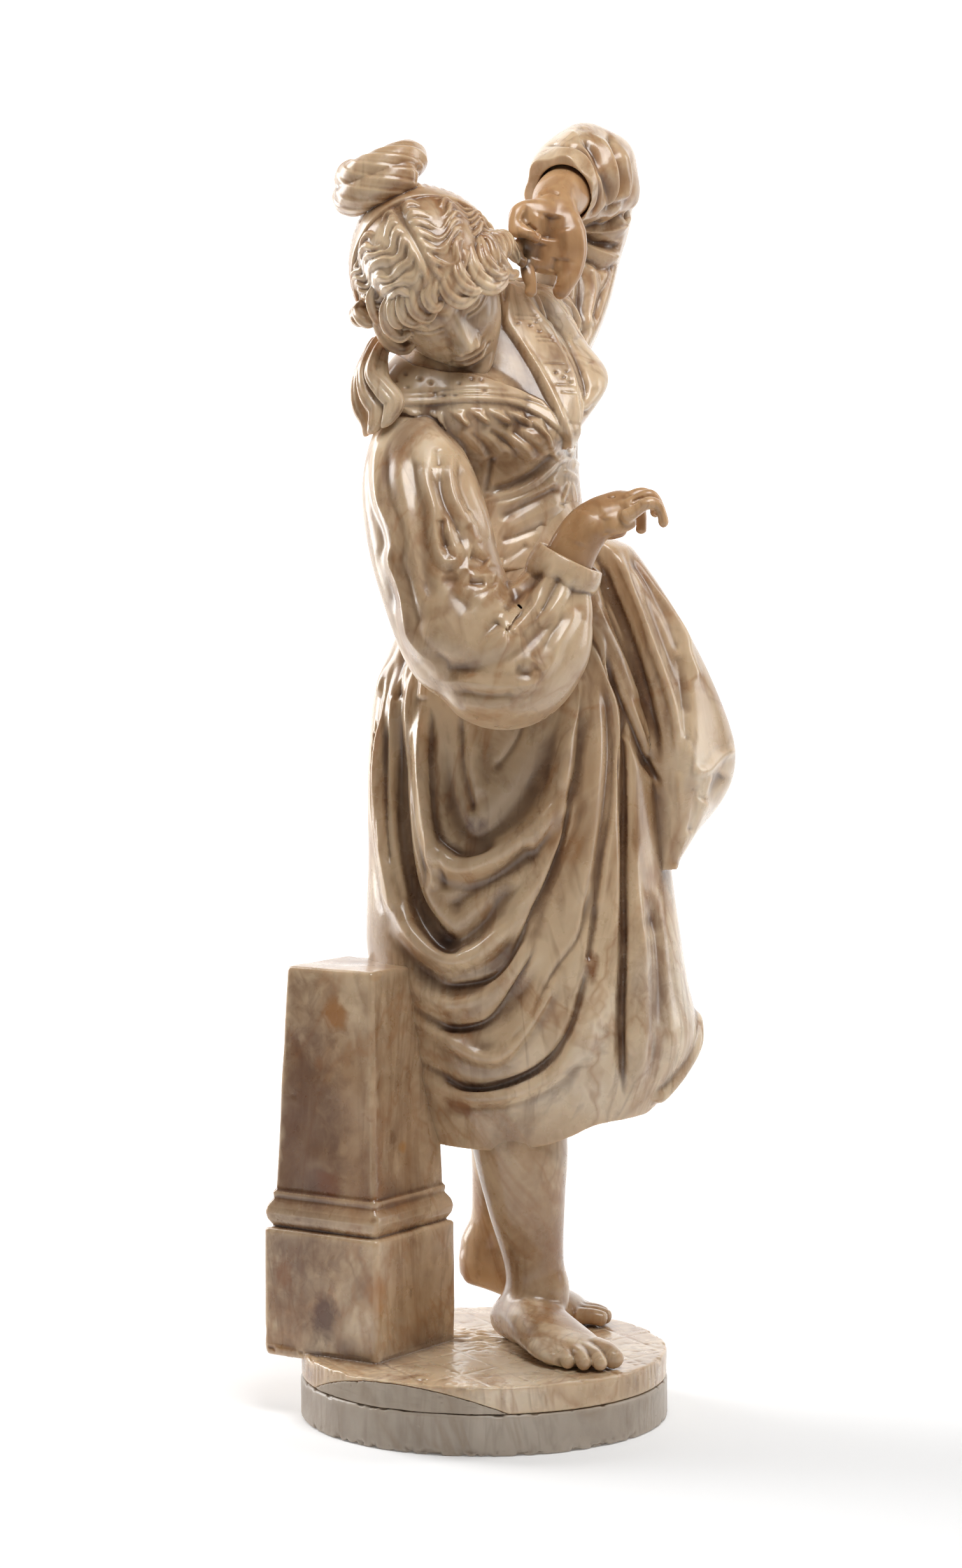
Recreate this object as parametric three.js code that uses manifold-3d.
// An alabaster statue of a young woman who leans on a square stone post, head bowed, her left hand raised to her hair.
// Millimetres, +Z up. The origin is the centre of the round plinth's underside, -Y faces the main viewer, +X is to the
// viewer's right. The figure's own front faces about 35 to 60 degrees to the viewer's right.
import * as THREE from "three";
import { mergeVertices } from "three/addons/utils/BufferGeometryUtils.js";
import Module from "manifold-3d";

const wasm = await Module();
wasm.setup();

// Driving dimensions
const plinthRadius = 114;
const plinthTop = 25;
const seam = 0.4; // gap between pieces that only touch
const groundTop = 42;
const groundRadius = 113.4;
const postCentre = [-77.6, 6.2];
const postTurn = THREE.MathUtils.degToRad(56.4);
const postBlockSide = 86;
const postTop = 280.3;
const torsoTurn = THREE.MathUtils.degToRad(55);
const headHeight = 110; // chin to crown

// Small vector tools on [x, y, z] arrays
const add = (p, q) => p.map((c, i) => c + q[i]);
const sub = (p, q) => p.map((c, i) => c - q[i]);
const times = (p, k) => p.map((c) => c * k);
const dot = (p, q) => p.reduce((s, c, i) => s + c * q[i], 0);
const cross = (p, q) => [
  p[1] * q[2] - p[2] * q[1],
  p[2] * q[0] - p[0] * q[2],
  p[0] * q[1] - p[1] * q[0],
];
const unit = (p) => times(p, 1 / Math.hypot(...p));
const mixed = (p, q, t) => p.map((c, i) => c + (q[i] - c) * t);
const clamp = (x, low = 0, high = 1) => Math.min(high, Math.max(low, x));
const smooth = (low, high, x) => {
  const t = clamp((x - low) / (high - low));
  return t * t * (3 - 2 * t);
};
const bump = (d) => Math.exp(-d * d);

// Reads a table whose rows start with their key, such as a height, with a smooth curve through the rows.
function read(table, key) {
  const last = table.length - 1;
  if (key <= table[0][0]) return table[0].slice(1);
  if (key >= table[last][0]) return table[last].slice(1);
  let i = 0;
  while (table[i + 1][0] < key) i += 1;
  const slope = (k, c) => {
    const [before, after] = [Math.max(k - 1, 0), Math.min(k + 1, last)];
    return (table[after][c] - table[before][c]) / (table[after][0] - table[before][0]);
  };
  const span = table[i + 1][0] - table[i][0];
  const t = (key - table[i][0]) / span;
  const [h00, h10] = [2 * t ** 3 - 3 * t ** 2 + 1, t ** 3 - 2 * t ** 2 + t];
  const [h01, h11] = [3 * t ** 2 - 2 * t ** 3, t ** 3 - t ** 2];
  return table[i].slice(1).map((value, k) => {
    const c = k + 1;
    return h00 * value + h10 * span * slope(i, c) + h01 * table[i + 1][c] + h11 * span * slope(i + 1, c);
  });
}

// Skins rings of equal count into one closed geometry, with a fan over each end. Each four-cornered patch is folded
// along the diagonal that lies nearer to middleOf(i, j), the true middle of the patch, where that is given.
function skin(rings, middleOf) {
  const count = rings[0].length;
  const centre = (ring) => times(ring.reduce(add), 1 / count);
  const points = [...rings.flat(), centre(rings[0]), centre(rings[rings.length - 1])];
  const [first, last] = [points.length - 2, points.length - 1];
  const faces = [];
  const miss = (a, b, middle) => Math.hypot(...sub(mixed(points[a], points[b], 0.5), middle));
  for (let i = 0; i < rings.length - 1; i += 1)
    for (let j = 0; j < count; j += 1) {
      const [a, b] = [i * count + j, i * count + ((j + 1) % count)];
      const [c, d] = [a + count, b + count];
      const middle = middleOf?.(i, j);
      if (middle && miss(b, c, middle) < miss(a, d, middle)) faces.push(a, b, c, b, d, c);
      else faces.push(a, b, d, a, d, c);
    }
  const top = (rings.length - 1) * count;
  for (let j = 0; j < count; j += 1) {
    const k = (j + 1) % count;
    faces.push(first, k, j, last, top + j, top + k);
  }
  const geometry = new THREE.BufferGeometry();
  geometry.setAttribute("position", new THREE.Float32BufferAttribute(points.flat(), 3));
  geometry.setIndex(faces);
  return geometry;
}

// A closed three.js geometry as a solid that can be joined and cut.
function solid(geometry) {
  const bare = geometry.clone();
  bare.deleteAttribute("normal");
  bare.deleteAttribute("uv");
  const merged = mergeVertices(bare, 1e-4);
  const build = (triVerts) =>
    new wasm.Manifold(
      new wasm.Mesh({ numProp: 3, vertProperties: merged.attributes.position.array, triVerts }),
    );
  const faces = new Uint32Array(merged.index.array);
  const made = build(faces);
  return made.volume() < 0 ? build(faces.reverse()) : made;
}

const skinned = (rings, middleOf) => solid(skin(rings, middleOf));
const joined = (solids) => solids.reduce((whole, next) => whole.add(next));

// Frame across a path: side and up are square to the direction of travel.
function acrossPath(direction, hint) {
  const side = unit(cross(hint, direction));
  return [side, cross(direction, side)];
}

// A limb along a table of rows [x, y, z, side half-width, up half-width]. relief(turn, along) is added to the radius.
function limb(rows, sides, steps, hint, relief = () => 0) {
  const table = rows.map((row, i) => [i / (rows.length - 1), ...row]);
  const rings = [];
  for (let i = 0; i <= steps; i += 1) {
    const t = i / steps;
    const row = read(table, t);
    const ahead = read(table, Math.min(1, t + 0.01)).slice(0, 3);
    const behind = read(table, Math.max(0, t - 0.01)).slice(0, 3);
    const [side, up] = acrossPath(unit(sub(ahead, behind)), hint);
    const ring = [];
    for (let j = 0; j < sides; j += 1) {
      const turn = (2 * Math.PI * j) / sides;
      const extra = relief(turn, t);
      const across = add(
        times(side, (row[3] + extra) * Math.cos(turn)),
        times(up, (row[4] + extra) * Math.sin(turn)),
      );
      ring.push(add(row.slice(0, 3), across));
    }
    rings.push(ring);
  }
  return skinned(rings);
}

// The same rows with every half-width larger.
const grown = (rows, grow) => rows.map(([x, y, z, side, up]) => [x, y, z, side + grow, up + grow]);

// A tapered round bar through points, blunt at its far end, for fingers, toes and locks of hair.
const bluntTip = 0.3;
function finger(points, startRadius, endRadius, sides = 5, steps = 3) {
  const rows = [];
  const table = points.map((p, i) => [i / (points.length - 1), ...p]);
  for (let i = 0; i <= steps; i += 1) {
    const t = i / steps;
    const radius = (startRadius + (endRadius - startRadius) * t) * (i === steps ? bluntTip : 1);
    rows.push([...read(table, t), radius, radius]);
  }
  const along = unit(sub(points[points.length - 1], points[0]));
  const hint = Math.abs(along[2]) < 0.8 ? [0, 0, 1] : [0, 1, 0];
  return limb(rows, sides, steps, hint);
}

// The skirt
// Rows: height, left and right edges as the viewer sees them, centre y, half-depth towards and away from the viewer.
const skirtTable = [
  [158, -34, 92, 42, 52],
  [180, -44, 108, 42, 60],
  [200, -52, 121, 42, 65],
  [229, -60, 134, 42, 71],
  [265, -70, 128, 43, 73],
  [290, -74, 124, 43, 74],
  [340, -73, 117, 44, 74],
  [400, -73, 112, 45, 72],
  [450, -68, 107, 45, 68],
  [478, -57, 100, 45, 62],
  [505, -47, 92, 45, 55],
  [540, -37, 78, 45, 48],
  [572, -29, 64, 44, 41],
];
// The skirt's centre x and y and its half-width and half-depth at a height.
function skirtAt(z) {
  const [left, right, centreY, deep] = read(skirtTable, z);
  return [(left + right) / 2, centreY, (right - left) / 2, deep];
}
const skirtGirth = 84; // mean radius, for distances along the cloth
const waistTop = 572;

// Folds that show from the front, each a curve of [x, z] points as the viewer sees them, with its half-width and height.
const swag = (left, bottom, right, width, height) => ({ path: [...left, bottom, ...right], width, height });
const skirtFolds = [
  swag([[-52, 455], [-37, 410], [-32, 362]], [-12, 347], [[30, 365], [47, 400], [51, 450]], 7, 5.5),
  swag([[-22, 440], [-24, 400], [-18, 375]], [-6, 362], [[14, 375], [32, 400], [42, 440]], 8, -5),
  swag([[-60, 455], [-62, 400], [-57, 340], [-49, 310]], [-20, 289], [[10, 303], [27, 330], [50, 380]], 7, 4.5),
  swag([[-46, 450], [-52, 390], [-48, 340], [-38, 312]], [-19, 297], [[0, 310], [12, 327], [22, 338]], 6, -6.5),
  swag([[-36, 276]], [-14, 270], [[3, 278], [16, 293], [30, 310]], 6, -4),
  swag([[-34, 262]], [-12, 258], [[8, 266], [24, 285], [42, 320]], 6, 3),
  swag([[-30, 246]], [-8, 244], [[6, 250], [20, 266], [34, 290]], 4.5, -3.5),
  swag([[-28, 240], [-14, 234]], [0, 227], [[14, 234], [30, 258], [48, 300]], 5.5, 4),
  swag([[-27, 213], [-14, 208]], [4, 208], [[24, 213], [42, 224], [56, 243]], 4, -3.5),
  swag([[-26, 204], [-2, 202]], [18, 205], [[38, 215], [56, 232], [68, 262], [67, 290]], 6, 4.5),
  { path: [[-58, 470], [-62, 420], [-65, 370], [-60, 330], [-56, 315]], width: 4, height: 3 },
  { path: [[56, 470], [58, 430], [55, 392], [46, 350], [33, 312], [28, 290]], width: 4, height: -3 },
  { path: [[64, 472], [68, 425], [66, 390], [62, 350], [50, 300]], width: 6, height: 3 },
  { path: [[73, 465], [77, 425], [76, 390], [70, 350], [66, 315], [62, 285]], width: 4, height: -2.5 },
  { path: [[84, 450], [86, 400], [88, 350], [87, 290], [85, 235], [85, 196]], width: 4.5, height: -5 },
  { path: [[94, 340], [95, 290], [96, 240], [96, 200]], width: 6, height: 3 },
  { path: [[62, 500], [76, 460], [90, 430], [102, 402]], width: 6, height: 3.5 },
  { path: [[70, 488], [84, 440], [96, 412], [108, 395]], width: 4, height: -4 },
  { path: [[108, 262], [110, 240], [111, 232]], width: 6, height: -6 },
  { path: [[52, 215], [60, 190]], width: 7, height: -2.5 },
];

// Where a point seen at [x, z] lies on the skirt: its turn about the skirt's centre, between -180 and 0 degrees.
function turnOnSkirt(x, z) {
  const [centreX, , across] = skirtAt(z);
  return -Math.acos(clamp((x - centreX) / across, -1, 1));
}

// A fold's path as closely spaced points [distance round the cloth, height].
function clothPath(fold) {
  const table = fold.path.map((p, i) => [i / (fold.path.length - 1), ...p]);
  const steps = 8 * (fold.path.length - 1);
  return Array.from({ length: steps + 1 }, (_, i) => {
    const [x, z] = read(table, i / steps);
    return [turnOnSkirt(x, z) * skirtGirth, z];
  });
}
const frontFolds = skirtFolds.map((fold) => ({ ...fold, points: clothPath(fold) }));

// Distance from a point on the cloth to a fold's path.
function distanceTo(points, u, v) {
  let nearest = Infinity;
  for (let i = 0; i < points.length - 1; i += 1) {
    const [[au, av], [bu, bv]] = [points[i], points[i + 1]];
    const [du, dv] = [bu - au, bv - av];
    const t = clamp(((u - au) * du + (v - av) * dv) / (du * du + dv * dv + 1e-9));
    nearest = Math.min(nearest, Math.hypot(u - au - t * du, v - av - t * dv));
  }
  return nearest;
}

// Plain hanging folds round the back, deeper towards the hem.
function backFolds(turn, z) {
  const onBack = smooth(0.15, 0.7, Math.sin(turn) + 0.25);
  const sway = 0.25 * Math.sin(z / 60);
  const depth = 1.5 + 3.5 * smooth(520, 300, z);
  return onBack * depth * (Math.sin(7 * turn + sway) + 0.4 * Math.sin(12 * turn + 1 + sway));
}

function skirtRelief(turn, z) {
  const wrapped = turn > 0 ? turn - 2 * Math.PI : turn;
  const u = (wrapped > -Math.PI * 1.25 ? wrapped : turn) * skirtGirth;
  const front = frontFolds.reduce(
    (sum, fold) => sum + fold.height * bump(distanceTo(fold.points, u, z) / fold.width),
    0,
  );
  return front * smooth(-0.6, 0, -Math.sin(turn)) + backFolds(turn, z);
}

// The hem hangs lowest towards the viewer's left and climbs at the figure's front, on the viewer's right.
const hemTable = [
  [-Math.PI, 165],
  [-2.6, 166],
  [-1.8, 165.5],
  [-1.55, 168.5],
  [-1.3, 174],
  [-1.07, 182],
  [-0.66, 185],
  [-0.49, 187.5],
  [-0.25, 208],
  [0, 230],
  [0.4, 234],
  [0.9, 222],
  [1.5, 190],
  [2.2, 170],
  [Math.PI, 165],
];
const hemAt = (turn) => read(hemTable, turn)[0];

function skirtPoint(turn, t) {
  const z = hemAt(turn) + (waistTop - hemAt(turn)) * t;
  const [centreX, centreY, across, deep] = skirtAt(z);
  const extra = skirtRelief(turn, z);
  return [centreX + (across + extra) * Math.cos(turn), centreY + (deep + extra) * Math.sin(turn), z];
}

function skirt() {
  const [nearSteps, farSteps, rows] = [30, 14, 22];
  const turnAt = (j) =>
    j <= nearSteps ? -Math.PI + (Math.PI * j) / nearSteps : (Math.PI * (j - nearSteps)) / farSteps;
  const columns = Array.from({ length: nearSteps + farSteps }, (_, j) => j);
  const rings = [];
  for (let i = 0; i <= rows; i += 1) rings.push(columns.map((j) => skirtPoint(turnAt(j), i / rows)));
  return skinned(rings, (i, j) => skirtPoint(turnAt(j + 0.5), (i + 0.5) / rows));
}

// The turned-up edge of the hem, where it climbs to the viewer's right
function hemRoll() {
  const points = [-0.56, -0.44, -0.3, -0.15, 0, 0.2].map((turn) => skirtPoint(turn, 0.025));
  return finger(points, 5.5, 4.5, 5, 6);
}

// The apron, a panel that swings forward from the waist with its lower edge caught up
const apronNear = -0.5;
const apronFar = 1.3;
const apronTop = 568;
const apronThick = 5;
const apronHem = [
  [0, 338],
  [0.12, 346],
  [0.3, 372],
  [0.42, 396],
  [0.6, 412],
  [0.8, 440],
  [1, 500],
];
// Rows: height, how far the panel's crest stands out to the viewer's right.
const apronCrest = [
  [338, 118],
  [360, 140],
  [384, 156],
  [402, 160],
  [420, 157],
  [456, 142],
  [492, 124],
  [528, 101],
  [568, 68],
];

function apronRadius(share, z) {
  const [centreX, , across] = skirtAt(z);
  const [crest] = read(apronCrest, z);
  const swell = Math.sin(Math.PI * clamp(0.12 + share * 0.88)) ** 0.75;
  const pleat = 2.5 * Math.sin(share * 15 + z / 45) * smooth(560, 450, z);
  const onSkirt = across + 3 + 3 * (1 - share);
  return onSkirt + Math.max(0, crest - centreX - onSkirt) * swell + pleat;
}

function apron() {
  const [stations, rows] = [10, 8];
  const rings = [];
  for (let i = 0; i <= stations; i += 1) {
    const share = i / stations;
    const hem = read(apronHem, share)[0];
    const turnAt = (z) => {
      const near = apronNear + 0.17 * smooth(520, 350, z);
      return near + (apronFar - near) * share;
    };
    const place = (radius, z) => {
      const [centreX, centreY, across, deep] = skirtAt(z);
      const turn = turnAt(z);
      return [
        centreX + radius * Math.cos(turn),
        centreY + radius * (deep / across) * Math.sin(turn),
        z,
      ];
    };
    const ring = [];
    for (let k = 0; k <= rows; k += 1) {
      const z = apronTop + (hem - apronTop) * (k / rows);
      ring.push(place(apronRadius(share, z), z));
    }
    const inner = (z, depth) => place(Math.max(apronRadius(share, z) - depth, 20), z);
    const inside = (z) => place(skirtAt(z)[2] - 14, z);
    ring.push(inner(hem, apronThick));
    ring.push(inner(hem + 0.2 * (apronTop - hem), apronThick + 3));
    ring.push(inside(hem + 0.45 * (apronTop - hem)));
    ring.push(inside(apronTop));
    rings.push(ring);
  }
  return skinned(rings);
}

// The trunk
const frontwards = [Math.sin(torsoTurn), -Math.cos(torsoTurn), 0];
const leftwards = (tilt) => [
  Math.cos(torsoTurn) * Math.cos(tilt),
  Math.sin(torsoTurn) * Math.cos(tilt),
  Math.sin(tilt),
];
// Rows: share of the way up, centre x, y, z, half-width from side to side, half-depth, tilt of the shoulders.
const trunkTable = [
  [0, 20, 45, 525, 54, 44, 0],
  [0.16, 18, 44, 560, 48, 40, 0.08],
  [0.3, 15, 43, 592, 49, 40, 0.22],
  [0.45, 13, 41, 618, 58, 46, 0.36],
  [0.6, 12, 41, 642, 61, 47, 0.5],
  [0.72, 8, 42, 663, 56, 41, 0.56],
  [0.83, 3, 42, 682, 42, 32, 0.52],
  [0.91, -4, 38, 695, 25, 22, 0.35],
  [1, -20, 34, 712, 18, 18, 0.3],
];
const shawlEdge = 0.5;

function trunkRelief(turn, t) {
  const facing = Math.sin(turn);
  const shawl = 2.2 * smooth(shawlEdge - 0.03, shawlEdge + 0.02, t - 0.06 * Math.sin(2 * turn));
  const corset = 1.2 * smooth(0.36, 0.33, t) * smooth(-0.2, 0.3, facing);
  return shawl * smooth(0.95, 0.85, t) + corset;
}

function trunk() {
  const [sides, rows] = [20, 11];
  const rings = [];
  for (let i = 0; i <= rows; i += 1) {
    const t = i / rows;
    const [x, y, z, across, deep, tilt] = read(trunkTable, t);
    const ring = [];
    for (let j = 0; j < sides; j += 1) {
      const turn = (2 * Math.PI * j) / sides;
      const extra = trunkRelief(turn, t);
      ring.push(
        add(
          [x, y, z],
          add(
            times(leftwards(tilt), (across + extra) * Math.cos(turn)),
            times(frontwards, (deep + extra) * Math.sin(turn)),
          ),
        ),
      );
    }
    rings.push(ring);
  }
  return skinned(rings);
}

function ball(centre, radii, turnZ = 0) {
  const geometry = new THREE.SphereGeometry(1, 9, 6);
  geometry.scale(...radii).rotateZ(turnZ).translate(...centre);
  return solid(geometry);
}

// The shoulders under the shawl and the breasts
function shouldersAndBreasts() {
  const rightShoulder = [
    [-4, 42, 666, 24, 26],
    [-22, 22, 650, 26, 25],
    [-40, 4, 630, 26, 25],
    [-50, -8, 612, 20, 20],
  ];
  const leftShoulder = [
    [0, 40, 676, 24, 22],
    [20, 56, 678, 27, 25],
    [38, 76, 676, 25, 25],
    [48, 92, 672, 20, 22],
  ];
  return [
    limb(rightShoulder, 9, 4, [0, 0, 1]),
    limb(leftShoulder, 9, 4, [0, 0, 1]),
    ball([33, 2, 622], [24, 20, 20], torsoTurn),
    ball([50, 22, 634], [20, 22, 21], torsoTurn),
  ];
}

// Sleeves: gathers run along the arm, strongest near the shoulder and the cuff.
const gathers = (count, height) => (turn, t) =>
  height * Math.sin(count * turn + 3 * t) * (0.45 + 0.55 * Math.abs(2 * t - 1));

function rightSleeve() {
  const rows = [
    [-34, 14, 626, 14, 12],
    [-43, -4, 611, 26, 24],
    [-42, -18, 586, 34, 31],
    [-35, -33, 553, 38, 35],
    [-25, -44, 517, 38, 35],
    [-10, -53, 484, 39, 37],
    [10, -55, 470, 41, 36],
    [28, -51, 483, 37, 32],
    [39, -48, 504, 28, 25],
    [45, -47, 519, 20, 20],
  ];
  return limb(rows, 14, 12, [0.3, 1, 0.2], gathers(5, 1.8));
}

function rightCuff() {
  const rows = [
    [44, -47, 516, 21, 20],
    [46, -47, 521, 23, 22],
    [49, -47.5, 527, 23, 22],
    [52, -48, 533, 21, 20],
  ];
  return limb(rows, 12, 3, [0, 1, 0]);
}

function leftSleeve() {
  const rows = [
    [34, 70, 648, 20, 22],
    [44, 88, 672, 25, 26],
    [53, 104, 698, 28, 28],
    [58, 118, 726, 31, 30],
    [63, 124, 752, 34, 32],
    [66, 112, 770, 34, 33],
    [61, 88, 770, 32, 31],
    [52, 66, 764, 27, 26],
    [46, 52, 759, 22, 22],
  ];
  return limb(rows, 14, 11, [1, 0, 0], gathers(6, 2));
}

// Hands, each carved apart and let into its cuff. Grown by the seam, they also cut their own sockets.
function rightHand(grow = 0) {
  const wrist = [
    [44, -46.5, 517, 15.5, 14],
    [49, -47.5, 528, 15.5, 14],
    [54, -49, 540, 15.5, 13],
    [62, -50, 551, 16.5, 11.5],
    [71, -51, 557, 18, 9],
    [80, -51, 560, 18, 7.5],
    [86, -51, 561, 15, 5],
  ];
  const knuckles = [
    [[80, -64, 558], [92, -65, 561], [98, -64, 552], [99, -63, 546]],
    [[82, -57, 560], [96, -57, 564], [102, -56, 555], [104, -55, 548]],
    [[82, -49, 560], [95, -48, 565], [102, -47, 560], [105, -46, 552]],
    [[80, -41, 559], [91, -39, 563], [97, -38, 559], [99, -37, 552]],
  ];
  const palm = limb(grown(wrist, grow), 10, 7, [0, 1, 0]);
  const fingers = knuckles.map((points) => finger(points, 5 + grow, 3.6 + grow));
  const thumb = finger([[62, -59, 548], [75, -67, 546], [86, -68, 546], [93, -67, 543]], 7 + grow, 4.4 + grow);
  return joined([palm, ...fingers, thumb]);
}

function leftHand(grow = 0) {
  const arm = [
    [60, 84, 766, 17, 16],
    [54, 66, 762, 17, 16],
    [49, 52, 757, 17, 16],
    [44, 34, 752, 16, 14],
    [41, 22, 746, 14, 12],
    [40, 14, 736, 17, 9],
    [38, 12, 722, 20, 8.5],
    [36, 13, 710, 18, 7],
    [35, 14, 702, 14, 5],
  ];
  const tips = [
    [[30, 14, 736], [22, 12, 734], [18, 6, 728], [19, 3, 722]],
    [[30, 14, 724], [20, 10, 718], [20, 3, 713], [24, 2, 710]],
    [[30, 14, 716], [20, 10, 708], [21, 3, 703], [25, 3, 701]],
    [[32, 14, 708], [24, 10, 699], [24, 5, 693], [27, 5, 689]],
  ];
  const palm = limb(grown(arm, grow), 10, 8, [1, 0.2, 0]);
  const fingers = tips.map((points) => finger(points, 5 + grow, 3.8 + grow));
  const thumb = finger([[48, 12, 724], [52, 8, 708], [47, 5, 696], [43, 4, 687]], 7 + grow, 5 + grow);
  return joined([palm, ...fingers, thumb]);
}

// The head, in its own axes: left, front and up, turned as the figure bows it
const headCentre = [-34, -4, 714];
const headLeft = unit([0.874, 0.05, 0.483]);
const crown = [-0.25, -0.857, 0.451];
const headUp = unit(sub(crown, times(headLeft, dot(crown, headLeft))));
const headFront = cross(headLeft, headUp);
const onHead = ([left, front, up]) =>
  add(headCentre, add(times(headLeft, left), add(times(headFront, front), times(headUp, up))));
const headScale = headHeight / 110;

// Rows: angle round the head from the crown through the face (degrees), radius on the midline and at the side.
const headProfile = [
  [-180, 44, 44],
  [-150, 48, 46],
  [-110, 54, 52],
  [-70, 55, 53],
  [-30, 52, 51],
  [0, 50, 50],
  [30, 52, 51],
  [60, 53, 50],
  [75, 52, 49],
  [84, 52.5, 49],
  [92, 49.5, 48],
  [97, 52, 48],
  [110, 64.5, 49],
  [117, 54.5, 50],
  [123, 58, 51],
  [126, 57, 51],
  [129, 61, 52],
  [134, 60, 53],
  [141, 68, 54],
  [147, 69, 54],
  [155, 60, 50],
  [165, 48, 46],
  [180, 44, 44],
];

// Radius of the head in the direction given by the angle round it and the slant towards either ear.
function headRadius(angle, slant) {
  const degrees = THREE.MathUtils.radToDeg(angle);
  const aside = Math.abs(slant);
  const [midline, side] = read(headProfile, degrees);
  const noseAndLips = smooth(88, 96, degrees) * smooth(138, 130, degrees);
  const breadth = 0.62 - 0.4 * noseAndLips;
  const plain = side + (midline - side) * smooth(breadth, 0.02, aside);
  const onFace = smooth(60, 68, degrees) * smooth(168, 155, degrees) * smooth(1.1, 0.9, aside);
  const sockets = 3 * bump((degrees - 92) / 6) * bump((aside - 0.33) / 0.16);
  const cheeks = 3 * bump((degrees - 112) / 14) * bump((aside - 0.45) / 0.22);
  const narrow = 1 - 0.2 * Math.sin(aside) ** 2;
  const wave = Math.sin(14 * angle + 1.6 * Math.sin(9 * slant)) * smooth(0.05, 0.25, aside);
  const band = bump((degrees + 10) / 8);
  const hair = (1 - onFace) * (5 + 1.6 * wave * (1 - band) + 1.2 * band);
  return headScale * ((plain + onFace * (cheeks - sockets)) * narrow + hair);
}

// Angles and slants close together over the face and wide apart behind
const headAngles = [
  ...[-180, -160, -140, -120, -100, -82, -64, -46, -30, -17, -4, 8, 20, 32, 44, 54, 63, 71],
  ...[79, 86, 92, 98, 104, 110, 116, 122, 128, 134, 141, 148, 156, 167],
].map((degrees) => THREE.MathUtils.degToRad(degrees));
const headSlants = [-1.45, -1.15, -0.85, -0.55, -0.3, -0.12, 0, 0.12, 0.3, 0.55, 0.85, 1.15, 1.45];

function headPoint(angle, slant) {
  const radius = headRadius(angle, slant);
  return onHead([
    radius * Math.sin(slant),
    radius * Math.cos(slant) * Math.sin(angle),
    radius * Math.cos(slant) * Math.cos(angle),
  ]);
}

function head() {
  return skinned(headSlants.map((slant) => headAngles.map((angle) => headPoint(angle, slant))));
}

// The bun: two coils of twisted hair behind the band
const bunLean = THREE.MathUtils.degToRad(32);
function bun() {
  const axis = [0, -Math.sin(bunLean), Math.cos(bunLean)];
  const coil = (distance, radius, thick, lean) => {
    const steps = 12;
    const rings = [];
    for (let i = 0; i < steps; i += 1) {
      const round = (2 * Math.PI * i) / steps;
      const out = [Math.cos(round), axis[2] * Math.sin(round), -axis[1] * Math.sin(round)];
      const middle = add(times(axis, distance + lean * Math.cos(round)), times(out, radius));
      const ring = [];
      for (let j = 0; j < 6; j += 1) {
        const turn = (2 * Math.PI * j) / 6;
        const size = thick * (1 + 0.12 * Math.sin(3 * turn + 5 * round));
        ring.push(onHead(add(middle, add(times(out, size * Math.cos(turn)), times(axis, size * Math.sin(turn))))));
      }
      rings.push(ring);
    }
    return ringed(rings);
  };
  const core = onHead(times(axis, 58));
  return [coil(58, 18, 10.5, 1), coil(68, 11, 9, 2), ball(core, [19, 19, 19])];
}

// Skins rings that close on themselves, as round a coil.
function ringed(rings) {
  const [turns, count] = [rings.length, rings[0].length];
  const faces = [];
  for (let i = 0; i < turns; i += 1)
    for (let j = 0; j < count; j += 1) {
      const [here, next] = [i * count, ((i + 1) % turns) * count];
      const k = (j + 1) % count;
      faces.push(here + j, here + k, next + k, here + j, next + k, next + j);
    }
  const geometry = new THREE.BufferGeometry();
  geometry.setAttribute("position", new THREE.Float32BufferAttribute(rings.flat(2), 3));
  geometry.setIndex(faces);
  return solid(geometry);
}

// Locks: curls over the brow and temples, and tresses that fall behind the near ear
function locks() {
  const curls = [];
  const count = 9;
  for (let i = 0; i < count; i += 1) {
    const slant = -1.05 + (2.1 * i) / (count - 1);
    const reach = 58 - 9 * Math.abs(slant) ** 1.5;
    const at = (degrees, lift, sway) => {
      const angle = THREE.MathUtils.degToRad(degrees);
      const radius = reach + lift;
      return onHead([
        radius * Math.sin(slant + sway),
        radius * Math.cos(slant) * Math.sin(angle),
        radius * Math.cos(slant) * Math.cos(angle),
      ]);
    };
    const drop = 10 * Math.abs(slant) ** 2;
    curls.push(finger([at(42, -1, 0), at(54, 2, 0.07), at(64 + drop, 2, -0.03), at(70 + drop, -1, 0.06)], 6.5, 4));
  }
  const tress = [
    [[-60, -6, 672], [-66, -8, 656], [-71, -12, 640], [-64, -18, 626], [-58, -20, 610]],
    [[-62, 6, 664], [-68, 4, 648], [-70, 0, 632], [-68, -6, 612]],
  ];
  return [...curls, ...tress.map((points) => finger(points, 9, 6, 6, 6))];
}

function neck() {
  return limb([[0, 46, 668, 24, 23], [-12, 40, 682, 20, 20], [-26, 30, 696, 24, 24]], 12, 3, [1, 0, 0]);
}

// Legs and feet
function rightLeg() {
  const rows = [
    [14, 24, 240, 30, 30],
    [22, 15, 170, 30, 30],
    [26, 12, 130, 24.5, 25],
    [31, 15, 92, 18.5, 20],
    [33, 16, 74, 20, 22],
    [30, 20, 58, 19, 24],
    [24, 24, 46, 15, 20],
  ];
  return limb(rows, 10, 6, [0.4, -0.92, 0]);
}

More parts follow.
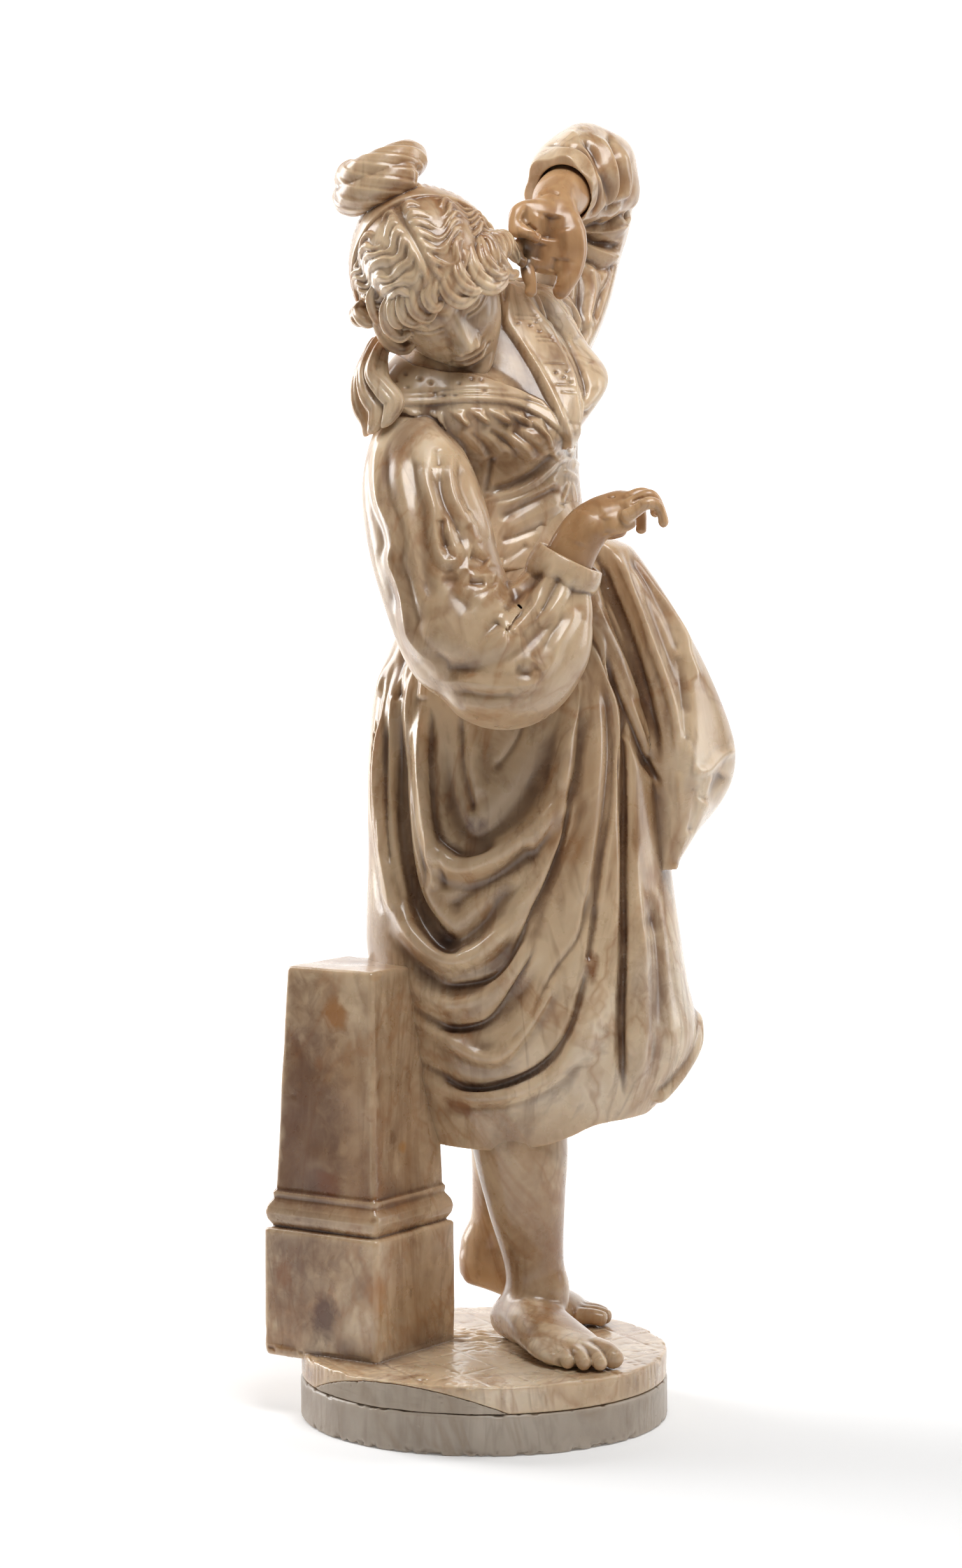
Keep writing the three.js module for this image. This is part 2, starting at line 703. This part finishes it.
function rightFoot() {
  const rows = [
    [15, 34, 52, 8, 8],
    [18, 28, 54, 16, 14],
    [27, 10, 58, 18, 18],
    [37, -14, 55, 21, 14],
    [48, -38, 51, 24, 10],
    [54, -52, 49, 23, 8],
    [58, -62, 47, 18, 5],
  ];
  const toes = [
    [[66, -42, 50], [75, -58, 50], [80, -70, 47]],
    [[61, -50, 50], [67, -66, 50], [71, -78, 46]],
    [[54, -50, 49], [58, -66, 50], [61, -78, 46]],
    [[46, -47, 49], [49, -62, 49], [51, -73, 46]],
    [[38, -38, 48], [40, -52, 48], [41, -62, 46]],
  ];
  const radii = [7.6, 5.6, 5.4, 5.2, 5.2];
  const sole = limb(rows, 10, 7, [0, 0, 1]);
  return [sole, ...toes.map((points, i) => finger(points, radii[i], radii[i] * 0.8))];
}

function leftLeg() {
  const rows = [
    [22, 66, 240, 28, 28],
    [16, 74, 170, 24, 25],
    [11, 80, 130, 18, 19],
    [8, 84, 104, 15, 17],
    [2, 86, 86, 16, 18],
    [-2, 86, 76, 14, 14],
  ];
  return limb(rows, 10, 5, [0.9, -0.2, 0]);
}

function leftFoot() {
  const rows = [
    [-14, 88, 76, 7, 8],
    [-8, 86, 76, 14, 13],
    [8, 82, 74, 17, 15],
    [28, 76, 64, 19, 12],
    [46, 71, 54, 21, 10],
    [56, 68, 51, 20, 8],
    [64, 66, 48, 16, 5],
  ];
  const toes = [
    [[58, 54, 49], [70, 50, 49], [78, 48, 47]],
    [[60, 62, 49], [72, 59, 49], [81, 57, 46]],
    [[60, 70, 49], [71, 67, 49], [79, 66, 46]],
    [[57, 78, 48], [67, 76, 48], [74, 75, 46]],
    [[51, 84, 48], [60, 84, 48], [66, 84, 46]],
  ];
  const sole = limb(rows, 10, 6, [0, 0, 1]);
  return [sole, ...toes.map((points) => finger(points, 5.6, 4.6))];
}

// The post: a square block, a torus moulding and a tapering shaft, as square sections one on another
function post() {
  const sections = [
    [38, 84],
    [40, postBlockSide],
    [116, postBlockSide],
    [117.5, 84],
    [118.4, 78],
    [120, 80.5],
    [123, 84],
    [127, 85.6],
    [131, 84],
    [134, 80.5],
    [136, 77.6],
    [138, 78.6],
    [140, 78.4],
    [141.5, 75.6],
    [278, 65.2],
    [279.7, 64],
    [postTop, 61],
  ];
  const rings = sections.map(([z, side]) => {
    const ring = [];
    for (let corner = 0; corner < 4; corner += 1)
      for (let k = 0; k <= 1; k += 1) {
        const rounding = 3;
        const bend = corner * (Math.PI / 2) + (k * Math.PI) / 2;
        const turn = postTurn + bend;
        const quarter = postTurn + Math.PI / 4 + corner * (Math.PI / 2);
        const inset = (side / 2 - rounding) * Math.SQRT2;
        ring.push([
          postCentre[0] + inset * Math.cos(quarter) + rounding * Math.cos(turn),
          postCentre[1] + inset * Math.sin(quarter) + rounding * Math.sin(turn),
          z,
        ]);
      }
    return ring;
  });
  return skinned(rings);
}

// Ground and plinth
function disc(radius, bottom, top, bevel) {
  const sharp = [[radius, bottom], [radius, top]];
  const bevelled = [
    [radius - bevel, bottom],
    [radius, bottom + bevel],
    [radius, top - bevel],
    [radius - bevel, top],
  ];
  const edge = bevel > 0 ? bevelled : sharp;
  const outline = [[0, bottom], ...edge, [0, top]].map(([x, y]) => new THREE.Vector2(x, y));
  return solid(new THREE.LatheGeometry(outline, 40).rotateX(Math.PI / 2));
}

// The wedge is what lies under a sloping plane at the near left of the ground disc.
const wedgeOutward = unit([-0.496, -0.868, 0]);
const wedgeChord = 89.3;
const wedgeRise = 0.67;
function underSlope(shift) {
  const size = 300;
  const slope = Math.atan(wedgeRise);
  const geometry = new THREE.BoxGeometry(size, size, size);
  geometry
    .translate(0, 0, -size / 2 + shift)
    .rotateY(-slope)
    .translate(wedgeChord, 0, plinthTop)
    .rotateZ(Math.atan2(wedgeOutward[1], wedgeOutward[0]));
  return solid(geometry);
}

const ground = disc(groundRadius, plinthTop + seam, groundTop, 0);

function figure() {
  const body = joined([
    skirt(),
    hemRoll(),
    apron(),
    trunk(),
    ...shouldersAndBreasts(),
    rightSleeve(),
    rightCuff(),
    leftSleeve(),
    head(),
    neck(),
    ...bun(),
    ...locks(),
    rightLeg(),
    ...rightFoot(),
    leftLeg(),
    ...leftFoot(),
    post(),
    ground.subtract(underSlope(seam / 2)),
  ]);
  return body.subtract(rightHand(seam)).subtract(leftHand(seam));
}

const figureSolid = figure();

const materials = {
  alabaster: new THREE.MeshStandardMaterial({ color: "#cdb79a", roughness: 0.38, metalness: 0 }),
  hands: new THREE.MeshStandardMaterial({ color: "#b08e6a", roughness: 0.36, metalness: 0 }),
  repair: new THREE.MeshStandardMaterial({ color: "#b7aa9a", roughness: 0.6, metalness: 0 }),
  plinth: new THREE.MeshStandardMaterial({ color: "#c4bbae", roughness: 0.5, metalness: 0 }),
};

// One named mesh from a solid.
function piece(name, whole, material) {
  const { vertProperties, triVerts, numProp } = whole.getMesh();
  const positions = [];
  for (let i = 0; i < vertProperties.length; i += numProp)
    positions.push(vertProperties[i], vertProperties[i + 1], vertProperties[i + 2]);
  const geometry = new THREE.BufferGeometry();
  geometry.setAttribute("position", new THREE.Float32BufferAttribute(positions, 3));
  geometry.setIndex([...triVerts]);
  geometry.computeVertexNormals();
  const mesh = new THREE.Mesh(geometry, material);
  mesh.name = name;
  return mesh;
}

const statue = new THREE.Group();
statue.add(
  piece("figure_with_post_and_ground", figureSolid, materials.alabaster),
  piece("right_hand", rightHand(), materials.hands),
  piece("raised_left_hand", leftHand(), materials.hands),
  piece("ground_repair_wedge", ground.intersect(underSlope(-seam / 2)), materials.repair),
  piece("plinth_disc", disc(plinthRadius, 0, plinthTop, 1.2), materials.plinth),
);

export default statue;
